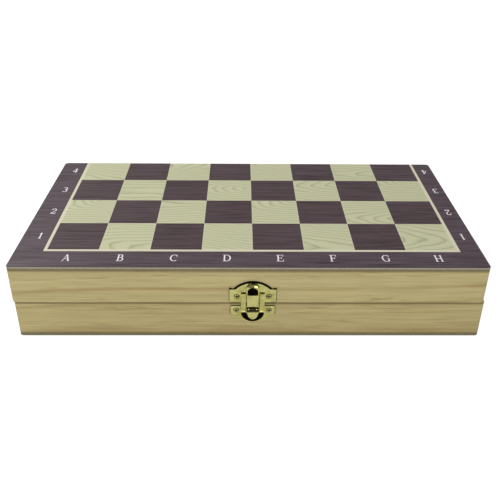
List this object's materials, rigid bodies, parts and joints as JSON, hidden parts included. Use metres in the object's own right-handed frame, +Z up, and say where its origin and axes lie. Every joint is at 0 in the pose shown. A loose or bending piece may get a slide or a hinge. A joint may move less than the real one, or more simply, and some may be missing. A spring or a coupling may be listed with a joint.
{
  "type": "magnetic chess set",
  "caption": "Folding wooden chess box with a toggle latch and back hinges; its outside is the board, and magnetic men lie in foam trays inside.",
  "frame": {"origin": "centre of the closed box's underside, on the lower board face", "axes": "+X along the long latch side, +Y from the latch side to the hinge side, +Z up through the closed box"},
  "size_m": [0.3008, 0.1565, 0.0534],
  "materials": {
    "pine": "planed pine with a thin matt varnish",
    "board_core": "raw fibreboard edge",
    "sheet_steel": "thin plain steel sheet",
    "printed_face": "printed and laminated wood-grain board face",
    "foam": "closed-cell foam",
    "hinge_metal": "brass-plated steel",
    "latch_metal": "bright brass-plated steel",
    "light_wood": "turned pale wood, satin varnish",
    "dark_wood": "turned wood stained dark brown, satin varnish",
    "magnet": "nickel-plated disc magnet",
    "felt": "thin green felt disc"
  },
  "bodies": {
    "lower_case": {"lower_front_rail": "pine", "lower_rear_rail": "pine", "lower_left_rail": "pine", "lower_right_rail": "pine", "lower_board_panel": "board_core", "lower_steel_sheet": "sheet_steel", "lower_playing_sheet": "printed_face", "lower_foam_tray": "foam", "left_hinge_lower_leaf": "hinge_metal", "right_hinge_lower_leaf": "hinge_metal", "left_hinge_pin": "hinge_metal", "right_hinge_pin": "hinge_metal", "lower_hinge_screws": "hinge_metal", "latch_base_plate": "latch_metal", "latch_base_screws": "latch_metal", "latch_lever_pin": "latch_metal", "light_king": "light_wood", "light_queen": "light_wood", "light_left_rook": "light_wood", "light_right_rook": "light_wood", "light_left_knight": "light_wood", "light_right_knight": "light_wood", "light_left_bishop": "light_wood", "light_right_bishop": "light_wood", "light_pawns": "light_wood", "light_magnets": "magnet", "light_felts": "felt"},
    "lid": {"upper_front_rail": "pine", "upper_rear_rail": "pine", "upper_left_rail": "pine", "upper_right_rail": "pine", "upper_board_panel": "board_core", "upper_steel_sheet": "sheet_steel", "upper_playing_sheet": "printed_face", "upper_foam_tray": "foam", "left_hinge_upper_leaf": "hinge_metal", "right_hinge_upper_leaf": "hinge_metal", "upper_hinge_screws": "hinge_metal", "latch_strike_plate": "latch_metal", "latch_strike_screws": "latch_metal", "dark_king": "dark_wood", "dark_queen": "dark_wood", "dark_left_rook": "dark_wood", "dark_right_rook": "dark_wood", "dark_left_knight": "dark_wood", "dark_right_knight": "dark_wood", "dark_left_bishop": "dark_wood", "dark_right_bishop": "dark_wood", "dark_pawns": "dark_wood", "dark_magnets": "magnet", "dark_felts": "felt"},
    "latch_lever": {"latch_lever": "latch_metal", "latch_link_pin": "latch_metal"},
    "latch_link": {"latch_link": "latch_metal"}
  },
  "joints": [
    {"name": "lid_hinge", "type": "hinge", "parent": "lower_case", "child": "lid", "pos_m": [0, 0.0751, 0.0267], "axis": [-1, 0, 0], "range_deg": [0, 180]},
    {"name": "lever_pivot", "type": "hinge", "parent": "lower_case", "child": "latch_lever", "pos_m": [0.0013, -0.0771, 0.023], "axis": [-1, 0, 0], "range_deg": [0, 115]},
    {"name": "link_pivot", "type": "hinge", "parent": "latch_lever", "child": "latch_link", "pos_m": [0.0013, -0.07675, 0.0215], "axis": [-1, 0, 0], "range_deg": [-111, 0]}
  ],
  "couplings": [
    {"joint": "link_pivot", "follows": "lever_pivot", "ratio": -0.955}
  ]
}
